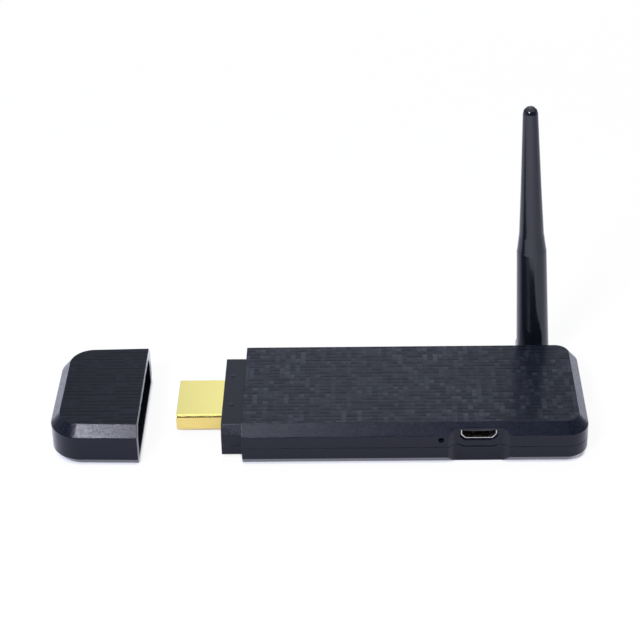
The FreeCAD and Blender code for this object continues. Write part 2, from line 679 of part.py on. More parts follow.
def make_upper_shell(recess):
    skin = new_body("upper_skin")
    outer_skin(skin, stick_outline(skin, "upper_outline"), "shoulder_x")
    pocket(skin, room_outline(skin, "upper_room", "0", "0"), "inner_break", backwards=True)
    pocket(skin, room_outline(skin, "upper_ceiling", "0", "inner_step"), "inner_top", backwards=True)
    neck = new_body("upper_neck")
    pad(neck, neck_outline(neck, "upper_neck_section", "neck_x", "neck_seam"), "neck_length + side_wall")
    below_seam = plain_box("below_seam", ("shoulder_x", "-half_width - 1", "-1"),
                           ("far_x + 1", "half_width + 1", "seam_height"))
    upper_half = doc.addObject("Part::Cut", "upper_half")
    upper_half.Base = merged("upper_skin_and_neck", [skin, neck])
    upper_half.Tool = below_seam
    work = Workpiece("upper_shell", upper_half)
    work.block("upper_port_backing", ("backing_left", "-inner_half - 0.3", "seam_height"),
               ("backing_right", "backing_face", "inner_top + 0.2"))
    apron = new_body("upper_port_apron")
    pad(apron, dip_outline(apron, "apron_outline", "-(socket_face)", "0"), "recess_backing", backwards=True)
    work.add(apron)
    for index, (x, y) in enumerate(POSTS):
        work.rod(f"upper_post_{index}", (x, y, "floor_wall + 0.3"), "post_radius", "inner_top - floor_wall")
    for index, side in enumerate(("-", "")):
        bump = doc.addObject("Part::Sphere", f"catch_bump_{index}")
        bind(bump, Radius="bump_radius")
        put(bump, "shoulder_x - bump_setback", f"{side}bump_spread / 2",
            "neck_top + bump_rise - bump_radius")
        work.add(bump)
    cut_plug_way(work)
    work.add(recess, cut=True)
    opening = new_body("port_opening")
    section = socket_section(opening, "port_outline", "half_width", "-port_gap", "socket_top + port_top_gap")
    pad(opening, section, "half_width + backing_face + 1", backwards=True)
    work.add(opening, cut=True)
    work.rod("pinhole", ("pinhole_x", "-half_width - 1", "pinhole_z"), "pinhole_radius", "side_wall + 1.5",
             "y", cut=True)
    cut_hinge_seat(work)
    for index, (side, x) in enumerate(CLIPS):
        low, high = clip_box(side, "inner_half - 0.1", "inner_half + clip_nib + clip_gap")
        work.block(f"clip_window_{index}",
                   (f"{x} - clip_length / 2 - clip_gap", low, "clip_top - nib_height - clip_gap"),
                   (f"{x} + clip_length / 2 + clip_gap", high, "clip_top + clip_gap"), cut=True)
    work.finish()


def make_lower_shell(recess):
    skin = new_body("lower_skin")
    outer_skin(skin, stick_outline(skin, "lower_outline"), "shoulder_x")
    pocket(skin, room_outline(skin, "lower_room", "floor_wall", "0"), "body_height", backwards=True)
    lower_half = doc.addObject("Part::Common", "lower_half")
    lower_half.Base = skin
    lower_half.Tool = plain_box("under_seam", ("shoulder_x", "-half_width - 1", "-1"),
                                ("far_x + 1", "half_width + 1", "seam_height"))
    work = Workpiece("lower_shell", lower_half)
    work.block("lower_neck", ("neck_x", "-neck_half", "neck_underside"),
               ("shoulder_x + side_wall / 2", "neck_half", "neck_seam"))
    work.block("lower_port_backing", ("backing_left", "-inner_half - 0.3", "floor_wall - 0.2"),
               ("backing_right", "backing_face", "seam_height"))
    for index, (x, y) in enumerate(POSTS):
        work.rod(f"socket_{index}", (x, y, "floor_wall - 0.3"), "socket_radius",
                 "board_underside - floor_wall + 0.3")
    for index, (side, x) in enumerate(CLIPS):
        start, end = f"{x} - clip_length / 2", f"{x} + clip_length / 2"
        low, high = clip_box(side, "inner_half - clip_sheet", "inner_half + 0.2")
        work.block(f"clip_root_{index}", (start, low, "floor_wall - 0.2"), (end, high, "seam_height"))
        low, high = clip_box(side, "inner_half - clip_sheet", "inner_half - clip_gap")
        work.block(f"clip_leaf_{index}", (start, low, "seam_height - 0.2"), (end, high, "clip_top"))
        low, high = clip_box(side, "inner_half - clip_gap - 0.1", "inner_half + clip_nib - clip_gap")
        work.block(f"clip_nib_{index}", (start, low, "clip_top - nib_height"), (end, high, "clip_top"))
    cut_plug_way(work)
    work.add(recess, cut=True)
    for index, (x, y) in enumerate(POSTS):
        work.rod(f"socket_bore_{index}", (x, y, "floor_wall"), "post_radius + post_clearance",
                 "body_height", cut=True)
    dip = new_body("port_dip")
    pad(dip, dip_outline(dip, "dip_outline", "half_width", "1", "dip_gap"),
        "half_width + backing_face + 0.1", backwards=True)
    work.add(dip, cut=True)
    cut_hinge_seat(work)
    work.finish()


def make_end_cap():
    skin = new_body("cap_skin")
    outer_skin(skin, cap_outline(skin, "cap_side"), "cap_rim")
    pocket(skin, neck_outline(skin, "cap_room_section", "cap_rim", "cavity_low", "cap_clearance"),
           "cap_length - cap_end_wall")
    work = Workpiece("end_cap", skin)
    for index, side in enumerate(("-", "")):
        work.block(f"bump_groove_{index}",
                   ("cap_rim - bump_setback - bump_radius", f"{side}bump_spread / 2 - bump_radius",
                    "cavity_top - 0.1"),
                   ("cap_rim + 0.1", f"{side}bump_spread / 2 + bump_radius",
                    "neck_top + bump_rise + cap_clearance"), cut=True)
    work.finish()


def plug_section(body, name, offset, inset):
    """The video plug's section, rounded above and bevelled below."""
    half = f"plug_half - {inset}"
    low = f"plug_low + {inset}"
    top = f"plug_top - {inset}"
    bevel = f"plug_bevel - {inset} * 0.4"
    return outline(body, name, "YZ_Plane", offset, [
        (f"-({half}) + ({bevel})", low),
        (f"{half} - ({bevel})", low),
        (half, f"{low} + ({bevel})"),
        rounded(half, top, f"plug_corner - {inset} * 0.5", -1, -1, "y"),
        rounded(f"-({half})", top, f"plug_corner - {inset} * 0.5", 1, -1, "x"),
        (f"-({half})", f"{low} + ({bevel})"),
    ])


UPPER_CONTACTS = 10
LOWER_CONTACTS = 9


def contact_sides(index, count):
    """Low and high side of one contact in an evenly spaced row."""
    centre = f"({index} - {(count - 1) / 2}) * contact_pitch"
    return f"{centre} - contact_width / 2", f"{centre} + contact_width / 2"


def make_video_plug():
    shell = new_body("plug_tube")
    pad(shell, plug_section(shell, "plug_outside", "plug_tip", "0"), "plug_back - plug_tip")
    pocket(shell, plug_section(shell, "plug_inside", "plug_tip", "plug_skin"), "plug_back - plug_tip",
           backwards=True)
    keep("video_plug_shell", shell)
    filling = new_body("plug_filling")
    pad(filling, plug_section(filling, "filling_outside", "plug_tip + 0.6", "plug_skin"),
        "plug_back - plug_tip - 0.6")
    insulator = Workpiece("video_plug_insulator", filling)
    insulator.block("tongue_slot", ("plug_tip - 1", "-tongue_width / 2", "tongue_floor"),
                    ("plug_tip + tongue_depth", "tongue_width / 2", "slot_top"), cut=True)
    insulator.block("board_slot", ("tab_end", "-board_tab_width / 2 - 0.05", "board_underside"),
                    ("plug_back + 1", "board_tab_width / 2 + 0.05", "board_top"), cut=True)
    contacts = []
    for index in range(UPPER_CONTACTS):
        low_y, high_y = contact_sides(index, UPPER_CONTACTS)
        low = ("contact_tip", low_y, "slot_top")
        contacts.append(plain_box(f"upper_contact_{index}", low,
                                  ("plug_back", high_y, "slot_top + contact_sheet")))
        insulator.block(f"upper_contact_way_{index}", low,
                        ("plug_back + 1", high_y, "slot_top + contact_sheet"), cut=True)
    for index in range(LOWER_CONTACTS):
        low_y, high_y = contact_sides(index, LOWER_CONTACTS)
        bottom = "tongue_floor - contact_sheet"
        pieces = [
            plain_box(f"lower_contact_{index}", ("contact_tip", low_y, bottom),
                      ("tab_end + contact_sheet", high_y, "tongue_floor")),
            plain_box(f"lower_riser_{index}", ("tab_end", low_y, bottom),
                      ("tab_end + contact_sheet", high_y, "board_underside")),
            plain_box(f"lower_tail_{index}", ("tab_end", low_y, "board_underside - contact_sheet"),
                      ("plug_back", high_y, "board_underside")),
        ]
        contacts.append(merged(f"lower_contact_bent_{index}", pieces))
        insulator.block(f"lower_contact_way_{index}", ("contact_tip", low_y, bottom),
                        ("tab_end + 1", high_y, "tongue_floor"), cut=True)
        insulator.block(f"lower_contact_rise_{index}", ("tab_end", low_y, bottom),
                        ("plug_back + 1", high_y, "board_underside + 0.1"), cut=True)
    insulator.finish()
    compound("video_plug_contacts", contacts)


def make_main_board():
    board = new_body("board_sheet")
    notch_left = "hinge_x - hinge_flange - notch_gap"
    notch_right = "hinge_x + hinge_flange + notch_gap"
    shape = outline(board, "board_outline", "XY_Plane", "board_underside", [
        ("tab_end", "-board_tab_width / 2"),
        ("board_left", "-board_tab_width / 2"),
        ("board_left", "-board_half"),
        ("board_right", "-board_half"),
        ("board_right", "board_half"),
        (notch_right, "board_half"),
        (notch_right, "lead_turn_y"),
        (notch_left, "lead_turn_y"),
        (notch_left, "board_half"),
        ("board_left", "board_half"),
        ("board_left", "board_tab_width / 2"),
        ("tab_end", "board_tab_width / 2"),
    ])
    pad(board, shape, "board_sheet")
    work = Workpiece("main_board", board)
    for index, (x, y) in enumerate(POSTS):
        work.rod(f"board_hole_{index}", (x, y, "board_underside - 1"), "post_radius + post_clearance",
                 "board_sheet + 2", cut=True)
    work.finish()


# Chips that are one box each: name, middle along and across, size along and across, underside and height
CHIPS = [
    ("processor", "processor_x", "processor_y", "processor_side", "processor_side", "board_top",
     "processor_height"),
    ("thermal_pad", "processor_x", "processor_y", "processor_side - 2 * gel_inset",
     "processor_side - 2 * gel_inset", "processor_top", "gel_sheet"),
    ("memory_chip", "memory_x", "processor_y", "memory_length", "memory_width", "board_top", "chip_height"),
    ("flash_chip", "flash_x", "flash_y", "flash_length", "flash_width", "board_top", "chip_height"),
    ("wireless_module_board", "module_x", "module_y", "module_length", "module_width", "board_top",
     "module_sheet"),
    ("clock_crystal", "crystal_x", "crystal_y", "crystal_length", "crystal_width", "board_top",
     "crystal_height"),
]
SPREADER_GROOVES = 5


def centred_box(name, x, y, long, wide, low, high):
    """Make a box about a middle in plan, between two heights."""
    return plain_box(name, (f"{x} - ({long}) / 2", f"{y} - ({wide}) / 2", low),
                     (f"{x} + ({long}) / 2", f"{y} + ({wide}) / 2", high))


def make_chips():
    for node, x, y, long, wide, low, tall in CHIPS:
        keep(node, centred_box(node, x, y, long, wide, low, f"{low} + {tall}"))
    spreader = Workpiece("heat_spreader", centred_box(
        "spreader_block", "processor_x", "processor_y", "spreader_length", "spreader_width", "gel_top",
        "inner_top - spreader_gap"))
    for index in range(SPREADER_GROOVES):
        middle = f"processor_x + ({index} - {(SPREADER_GROOVES - 1) / 2}) * groove_pitch"
        spreader.add(centred_box(f"spreader_groove_{index}", middle, "processor_y", "groove_width",
                                 "spreader_width + 2", "gel_top + spreader_plate", "inner_top"), cut=True)
    spreader.finish()
    long, wide = "module_length - 2 * shield_inset_x", "module_width - 2 * shield_inset_y"
    shield = Workpiece("wireless_module_shield", centred_box(
        "shield_outside", "module_x", "module_y", long, wide, "module_top", "module_top + shield_height"))
    shield.add(centred_box("shield_inside", "module_x", "module_y", f"{long} - 2 * shield_sheet",
                           f"{wide} - 2 * shield_sheet", "board_top",
                           "module_top + shield_height - shield_sheet"), cut=True)
    shield.finish()


# Places of the small parts on the board's upper side, in steps of its grid from the middle or an edge
CAPACITORS = [(-26, -6), (-26, -2.5), (-24, 1), (10.8, -2), (10.8, 1), (10.8, 4), (3, 9.4), (6, 9.4)]
FRONT_CAPACITORS = [(-13.5, 5.2), (-10.5, 5.2), (-7.5, 5.2), (-4.5, 5.2), (1, 5.4)]
BACK_CAPACITORS = [(-2, 1.4), (-22, 1.8)]
INDUCTOR_PLACES = [("-20.5 * board_grid", "-7 * board_grid"),
                   ("12.5 * board_grid", "board_half - 3.8 * board_grid"),
                   ("-3.5 * board_grid", "-board_half + 2.2 * board_grid")]


def make_small_parts():
    places = [(f"{x} * board_grid", f"{y} * board_grid") for x, y in CAPACITORS]
    places += [(f"{x} * board_grid", f"-board_half + {gap} * board_grid") for x, gap in FRONT_CAPACITORS]
    places += [(f"{x} * board_grid", f"board_half - {gap} * board_grid") for x, gap in BACK_CAPACITORS]
    compound("ceramic_capacitors", [
        centred_box(f"capacitor_{index}", x, y, "capacitor_length", "capacitor_width", "board_top",
                    "board_top + capacitor_height") for index, (x, y) in enumerate(places)])
    compound("power_inductors", [
        centred_box(f"inductor_{index}", x, y, "inductor_side", "inductor_side", "board_top",
                    "board_top + inductor_height") for index, (x, y) in enumerate(INDUCTOR_PLACES)])


SOCKET_CONTACTS = 5


def make_power_socket():
    shell = new_body("socket_tube")
    pad(shell, socket_section(shell, "socket_outside", "-(socket_front)", "0", "socket_top"), "socket_depth",
        backwards=True)
    pocket(shell, socket_section(shell, "socket_inside", "-(socket_front)", "socket_skin",
                                 "socket_top - socket_skin"),
           "socket_depth - socket_back")
    work = Workpiece("power_socket_shell", shell)
    for index, side in enumerate(("-", "+")):
        middle = f"port_x {side} leg_spread / 2"
        work.block(f"socket_leg_{index}", (f"{middle} - leg_width / 2", "-board_half + 0.6", "board_top"),
                   (f"{middle} + leg_width / 2", "-board_half + 2", "socket_low + socket_skin - 0.05"))
    work.finish()
    tongue = Workpiece("power_socket_tongue")
    blade_top = "socket_top - blade_drop"
    blade_low = f"{blade_top} - blade_sheet"
    tongue.block("tongue_blade", ("port_x - blade_width / 2", "socket_front + blade_setback", blade_low),
                 ("port_x + blade_width / 2", "socket_back_y - socket_back", blade_top))
    tongue.block("tongue_block",
                 ("port_x - block_width / 2", "socket_back_y - socket_back - block_length",
                  "socket_low + socket_skin"),
                 ("port_x + block_width / 2", "socket_back_y - socket_back", "socket_top - socket_skin"))
    tongue.finish()
    contacts = []
    for index in range(SOCKET_CONTACTS):
        middle = f"port_x + ({index} - {(SOCKET_CONTACTS - 1) / 2}) * socket_pitch"
        contacts.append(plain_box(
            f"socket_contact_{index}",
            (f"{middle} - socket_contact / 2", "socket_front + blade_setback + 0.2",
             f"{blade_low} - socket_contact_sheet"),
            (f"{middle} + socket_contact / 2", "socket_back_y - socket_back - block_length", blade_low)))
    compound("power_socket_contacts", contacts)


def make_reset_switch():
    left, right = "pinhole_x - switch_width / 2", "pinhole_x + switch_width / 2"
    half_button = "button_width / 2"
    case = Workpiece("reset_switch_case")
    case.block("switch_block", (left, "switch_front", "board_top"), (right, "switch_back", "switch_top"))
    case.block("switch_slot",
               (f"pinhole_x - {half_button} - button_gap", "switch_front - 1",
                "pinhole_z - button_height / 2 - button_gap"),
               (f"pinhole_x + {half_button} + button_gap", "switch_front + button_room",
                "pinhole_z + button_height / 2 + button_gap"), cut=True)
    case.finish()
    button = Workpiece("reset_button")
    button.block("button_block",
                 (f"pinhole_x - {half_button}", "switch_front - button_reach",
                  "pinhole_z - button_height / 2"),
                 (f"pinhole_x + {half_button}", "switch_front + button_room - reset_travel - button_gap",
                  "pinhole_z + button_height / 2"))
    button.finish()
    plate = Workpiece("reset_switch_plate")
    plate.block("plate_top", (f"{left} - switch_plate", "switch_front + 0.2", "switch_top"),
                (f"{right} + switch_plate", "switch_back", "switch_top + switch_plate"))
    plate.block("plate_left", (f"{left} - switch_plate", "switch_front + 0.2", "board_top"),
                (left, "switch_back", "switch_top"))
    plate.block("plate_right", (right, "switch_front + 0.2", "board_top"),
                (f"{right} + switch_plate", "switch_back", "switch_top"))
    plate.finish()


def make_lead_connector():
    x, y = "lead_plug_x", "lead_plug_y"
    jack = Workpiece("coaxial_jack", centred_box("jack_foot", x, y, "jack_side", "jack_side", "board_top",
                                                 "board_top + jack_base"))
    jack.rod("jack_barrel", (x, y, "board_top"), "jack_radius", "lead_plug_height")
    jack.rod("jack_hollow", (x, y, "board_top + jack_base"), "jack_bore", "lead_plug_height", cut=True)
    jack.finish()
    plug = Workpiece("coaxial_lead_plug")
    plug.rod("lead_plug_cap", (x, y, "lead_plug_low"), "lead_plug_radius", "lead_plug_height")
    plug.block("lead_plug_crimp", (x, f"{y} - crimp_width / 2", "lead_plug_low"),
               (f"{x} + crimp_length", f"{y} + crimp_width / 2", "lead_level + lead_radius + 0.1"))
    plug.rod("lead_plug_bore", (x, y, "lead_plug_low - 0.1"), "jack_radius + 0.05",
             "board_top + lead_plug_height + 0.05 - lead_plug_low + 0.1", cut=True)
    plug.rod("lead_way", (f"{x} + crimp_length / 2", y, "lead_level"), "lead_radius", "crimp_length", "x",
             cut=True)
    plug.finish()


def bent_tube(points, radius):
    """A round tube along straight runs joined by arcs as large as the runs allow."""
    edges = []
    last = points[0]
    for before, corner, after in zip(points, points[1:], points[2:]):
        inward = (before - corner).normalize()
        outward = (after - corner).normalize()
        half_turn = (math.pi - inward.getAngle(outward)) / 2
        reach = 0.45 * min((before - corner).Length, (after - corner).Length)
        bend = reach / math.tan(half_turn)
        start = corner + inward * reach
        end = corner + outward * reach
        middle_way = (inward + outward).normalize()
        centre = corner + middle_way * (bend / math.cos(half_turn))
        edges.append(Part.LineSegment(last, start).toShape())
        edges.append(Part.Arc(start, centre - middle_way * bend, end).toShape())
        last = end
        print(f"lead bend radius {bend:.2f} mm")
    edges.append(Part.LineSegment(last, points[-1]).toShape())
    path = Part.Wire(edges)
    direction = (points[1] - points[0]).normalize()
    ring = Part.Wire(Part.Circle(points[0], direction, radius).toShape())
    tube = path.makePipeShell([ring], True, False)
    expected = math.pi * radius ** 2 * path.Length
    print(f"lead volume {tube.Volume:.3f} of {expected:.3f} cubic mm, length {path.Length:.2f} mm")
    return tube


def make_antenna_lead():
    """The lead from its plug round to the hinge, and through the hinge pin into the knuckle."""
    level, turn_y = number("lead_level"), number("lead_turn_y")
    hinge_x, hinge_z = number("hinge_x"), number("hinge_z")
    start = Vector(number("lead_plug_x + crimp_length / 2"), number("lead_plug_y"), level)
    points = [start, Vector(hinge_x, start.y, level), Vector(hinge_x, turn_y, level),
              Vector(hinge_x, number("flange_y - lead_straight"), hinge_z),
              Vector(hinge_x, number("half_width"), hinge_z)]
    lead = doc.addObject("Part::Feature", "antenna_lead_tube")
    lead.Shape = bent_tube(points, number("lead_radius"))
    keep("antenna_lead", lead)


# The antenna's pieces are drawn about the hinge, standing straight, and then leaned

def stand_on_hinge(item):
    item.Placement = FreeCAD.Placement(Vector(), FreeCAD.Rotation(Vector(0, -1, 0), number("antenna_lean")))
    item.setExpression("Placement.Rotation.Angle", formula("antenna_lean"))
    put(item, "hinge_x", "hinge_y", "hinge_z")


def make_antenna_sleeve():
    turned = new_body("sleeve_turning")
    side = outline(turned, "sleeve_side", "XZ_Plane", "0", [
        ("0", "0"),
        ("sleeve_root_width / 2", "0"),
        ("sleeve_waist_width / 2", "waist_height"),
        ("sleeve_waist_width / 2 - 0.12", "waist_height + 0.7"),
        ("sleeve_neck_width / 2 + 0.12", "shoulder_height - 1"),
        ("sleeve_neck_width / 2", "shoulder_height"),
        ("sleeve_neck_width / 2 - 0.42", "shoulder_height + 10"),
        ("sleeve_tip_width / 2", "antenna_height - sleeve_tip_width / 2"),
        ("sleeve_tip_width * 0.433", "antenna_height - sleeve_tip_width / 4"),
        ("sleeve_tip_width / 4", "antenna_height - sleeve_tip_width * 0.067"),
        ("0", "antenna_height"),
    ])
    revolve(turned, side)
    knuckle = doc.addObject("Part::Cylinder", "knuckle_barrel")
    knuckle.Placement = FreeCAD.Placement(Vector(), TURNS["y"])
    bind(knuckle, Radius="knuckle_radius", Height="2 * knuckle_radius")
    put(knuckle, "0", "-knuckle_radius", "0")
    doc.recompute()
    rims = [index for index, edge in enumerate(knuckle.Shape.Edges, start=1)
            if edge.BoundBox.YLength < NEGLIGIBLE]
    soft_knuckle = doc.addObject("Part::Fillet", "knuckle_soft")
    soft_knuckle.Base = knuckle
    softness = number("knuckle_softness")
    soft_knuckle.Edges = [(index, softness, softness) for index in rims]
    work = Workpiece("antenna_sleeve", turned, soft_knuckle)
    work.rod("lower_bore", ("0", "0", "0"), "sleeve_bore", "lower_bore_top", cut=True)
    work.rod("whip_way", ("0", "0", "0"), "whip_bore", "whip_top + 0.3", cut=True)
    work.rod("knuckle_room", ("0", "-sleeve_bore", "0"), "sleeve_bore + 0.3",
             "sleeve_bore + knuckle_radius - cover_sheet", "y", cut=True)
    work.rod("cover_seat", ("0", "knuckle_radius - cover_sheet", "0"), "cover_radius + cover_gap",
             "cover_sheet + 1", "y", cut=True)
    work.rod("pin_seat", ("0", "-knuckle_radius - 1", "0"), "hinge_radius", "knuckle_radius + 1", "y",
             cut=True)
    stand_on_hinge(work.finish())


def antenna_tube(node, start, length, radius, bore):
    """A tube of the antenna, from a distance above the hinge."""
    work = Workpiece(node)
    work.rod(node + "_outside", ("0", "0", start), radius, length)
    work.rod(node + "_bore", ("0", "0", "0"), bore, "antenna_height", cut=True)
    stand_on_hinge(work.finish())


def make_antenna_inside():
    cover = Workpiece("antenna_knuckle_cover")
    cover.rod("cover_disc", ("hinge_x", "hinge_y + knuckle_radius - cover_sheet", "hinge_z"),
              "cover_radius", "cover_sheet - 0.05", "y")
    cover.finish()
    tube_bore = "sleeve_bore - tube_gap - tube_wall"
    antenna_tube("antenna_ground_tube", "tube_start", "lower_bore_top - tube_start - 0.2",
                 "sleeve_bore - tube_gap", tube_bore)
    antenna_tube("antenna_crimp_ring", "whip_foot - ring_length", "ring_length", tube_bore,
                 "lead_radius")
    whip = Workpiece("antenna_whip")
    bead_radius = "whip_bore - bead_gap"
    whip.rod("whip_wire", ("0", "0", "whip_foot"), "whip_radius", "whip_top - (whip_foot)")
    whip.rod("whip_bead", ("0", "0", "lower_bore_top + 2"), bead_radius, "bead_length")
    whip.rod("whip_tip_bead", ("0", "0", "whip_top - 1 - bead_length"), bead_radius, "bead_length")
    stand_on_hinge(whip.finish())
    feed = doc.addObject("Part::Feature", "antenna_feed_tube")
    start = -number("hinge_gap + knuckle_radius")
    points = [Vector(0, start, 0), Vector(0, 0, 0), Vector(0, 0, number("whip_foot"))]
    feed.Shape = bent_tube(points, number("lead_radius"))
    stand_on_hinge(feed)
    keep("antenna_feed", feed)


def make_hinge_pin():
    length = "pin_tip_y - (flange_y)"
    pin = Workpiece("antenna_hinge_pin")
    pin.rod("pin_shaft", ("hinge_x", "flange_y", "hinge_z"), "hinge_radius", length, "y")
    pin.rod("pin_flange", ("hinge_x", "flange_y", "hinge_z"), "hinge_flange", "flange_sheet", "y")
    pin.rod("pin_bore", ("hinge_x", "flange_y - 1", "hinge_z"), "hinge_bore", f"{length} + 2", "y",
            cut=True)
    pin.finish()
    washer = Workpiece("friction_washer")
    washer.rod("washer_disc", ("hinge_x", "washer_y", "hinge_z"), "hinge_flange", "washer_sheet", "y")
    washer.rod("washer_hole", ("hinge_x", "washer_y - 1", "hinge_z"), "hinge_radius + hinge_clearance",
               "washer_sheet + 2", "y", cut=True)
    washer.finish()


recess = recess_tool()
make_upper_shell(recess)
make_lower_shell(recess)
make_end_cap()
make_video_plug()
make_main_board()
make_chips()
make_small_parts()
make_power_socket()
make_reset_switch()
make_lead_connector()
make_antenna_lead()
make_antenna_sleeve()
make_antenna_inside()
make_hinge_pin()
doc.recompute()

faults = [f"{item.Label}: {item.State}" for item in doc.Objects
          if "Invalid" in item.State or "Error" in item.State]
for node, item in nodes.items():
    if item.Shape.isNull() or not item.Shape.isValid():
        faults.append(f"{node}: its shape is missing or not valid")
    elif not item.Shape.Solids:
        faults.append(f"{node}: it holds no solid")
if faults:
    raise RuntimeError("; ".join(faults))

os.makedirs(PARTS_FOLDER, exist_ok=True)
for node, item in nodes.items():
    item.Shape.exportStep(os.path.join(PARTS_FOLDER, node + ".step"))
    box = item.Shape.BoundBox
    print(f"{node}: {len(item.Shape.Solids)} solids, {item.Shape.Volume:.2f} cubic mm, "
          f"x {box.XMin:.2f} {box.XMax:.2f} y {box.YMin:.2f} {box.YMax:.2f} "
          f"z {box.ZMin:.2f} {box.ZMax:.2f}")
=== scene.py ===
"""Looks of a wireless display dongle: shells with a mosaic top, gold video plug, end cap and swivel antenna.

The frame holds every piece in metres at rest. The pieces that show are rebuilt here with softened edges and
dressed in procedural finishes, the hidden ones keep their CAD shape.
"""
import json
import math

import bmesh
import bpy
from mathutils import Matrix, Vector


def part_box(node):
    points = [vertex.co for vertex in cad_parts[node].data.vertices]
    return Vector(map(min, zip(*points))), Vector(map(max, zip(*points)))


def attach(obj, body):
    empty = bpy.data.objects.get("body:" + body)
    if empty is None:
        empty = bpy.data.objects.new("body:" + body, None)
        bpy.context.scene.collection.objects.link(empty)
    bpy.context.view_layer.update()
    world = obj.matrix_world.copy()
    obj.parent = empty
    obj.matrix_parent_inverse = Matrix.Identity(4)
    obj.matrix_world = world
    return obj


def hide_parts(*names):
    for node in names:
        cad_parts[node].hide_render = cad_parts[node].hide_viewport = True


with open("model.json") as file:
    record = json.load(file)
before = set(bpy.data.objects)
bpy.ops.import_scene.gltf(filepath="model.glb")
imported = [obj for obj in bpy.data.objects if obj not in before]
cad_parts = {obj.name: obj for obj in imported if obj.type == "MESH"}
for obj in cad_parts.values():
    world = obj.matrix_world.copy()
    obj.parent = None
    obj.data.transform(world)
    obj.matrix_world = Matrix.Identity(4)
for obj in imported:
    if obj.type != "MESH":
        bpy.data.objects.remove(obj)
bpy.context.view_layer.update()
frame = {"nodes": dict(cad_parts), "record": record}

bl_info = {
    "name": "Display dongle",
    "version": (1, 0, 0),
    "blender": (4, 5, 0),
    "location": "3D View > Sidebar > Dongle",
    "description": "Dresses the packed model of a wireless display dongle",
    "category": "Object",
}

NODES = frame["nodes"]
BODY_OF = {node: body for body, members in frame["record"]["behaviour"]["bodies"].items() for node in members}
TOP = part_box("upper_shell")[1].z
MM = 0.001

# Edge work: distances in metres and angles between faces
WELD = 1e-7
SHORTEST_RUN = 1 * MM
FLAT = math.radians(0.6)
SHARP = math.radians(30)
CREASE = math.radians(32)

# Noise, in grains per metre
MOULD_GRAIN = 9000
PIT_GRAIN = 5200
SPECK_GRAIN = 3200
CLOUD_GRAIN = 90
PATCH_GRAIN = 70

# Where the top is: how level it faces, its depth in millimetres, and how upright the slopes may be
LEVEL = (0.98, 0.999)
TOP_SKIN = 0.03
STEEPEST_SLOPE = 0.2

# The mosaic: lengths as shares of a cell or counted in rows, and chances from 0 to 1
TALL_ROWS = 2.5
CELL_GAP = 0.1
ROW_GAP_START = 0.88
ROW_GAP_CHANCE = 0.82
PALE_SINGLE = (0.74, 0.94)
PALE_TALL = (0.76, 0.96)
DASH_WIDTH = 0.38
DASH_CHANCE = 0.25

# Traces of the boards, in millimetres
TRACE_PITCH = 0.5
TRACE_LENGTH = 3

# The stage, in metres
FLOOR_REACH = 6.0
CONTACT_REACH = 0.9 * MM
KEY_LAMP = {"location": (-0.250, -0.465, 0.51), "target": (-0.02, 0, 0), "size": (0.15, 0.2),
            "tint": (0.95, 0.96, 1.1)}
TOP_LAMP = {"location": (0.0, 0.1, 0.7), "target": (0, 0, 0), "size": (1.4, 1.1), "tint": (1.0, 1.0, 1.0)}

# The camera, in millimetres and degrees
CAMERA_PLACE = (-11.87, -344.75, 238.51)
CAMERA_YAW = -1.28
CAMERA_DOWN = 31.75
CAMERA_ROLL = -1.2
FILM_WIDTH = 36.0


# Shader maths

class Shade:
    """A socket, or a sum made of sockets, that takes part in Python sums."""

    def __init__(self, graph, socket):
        self.graph = graph
        self.socket = socket

    def math(self, operation, *values):
        return self.graph.node("ShaderNodeMath", {"operation": operation}, dict(enumerate(values)))

    def __add__(self, other):
        return self.math("ADD", self, other)

    def __sub__(self, other):
        return self.math("SUBTRACT", self, other)

    def __rsub__(self, other):
        return self.math("SUBTRACT", other, self)

    def __mul__(self, other):
        return self.math("MULTIPLY", self, other)

    def __truediv__(self, other):
        return self.math("DIVIDE", self, other)

    def __gt__(self, other):
        return self.math("GREATER_THAN", self, other)

    def __lt__(self, other):
        return self.math("LESS_THAN", self, other)

    __radd__ = __add__
    __rmul__ = __mul__

    def floor(self):
        return self.math("FLOOR", self)

    def part(self):
        """What is left over after whole steps."""
        return self.math("FRACT", self)

    def either(self, other):
        """The larger of two."""
        return self.math("MAXIMUM", self, other)

    def size(self):
        """The number without its sign."""
        return self.math("ABSOLUTE", self)

    def ramp(self, low, high, start=0.0, end=1.0):
        """Go from start at low to end at high."""
        values = {"Value": self, "From Min": low, "From Max": high, "To Min": start, "To Max": end}
        return self.graph.node("ShaderNodeMapRange", {"interpolation_type": "SMOOTHSTEP"}, values)


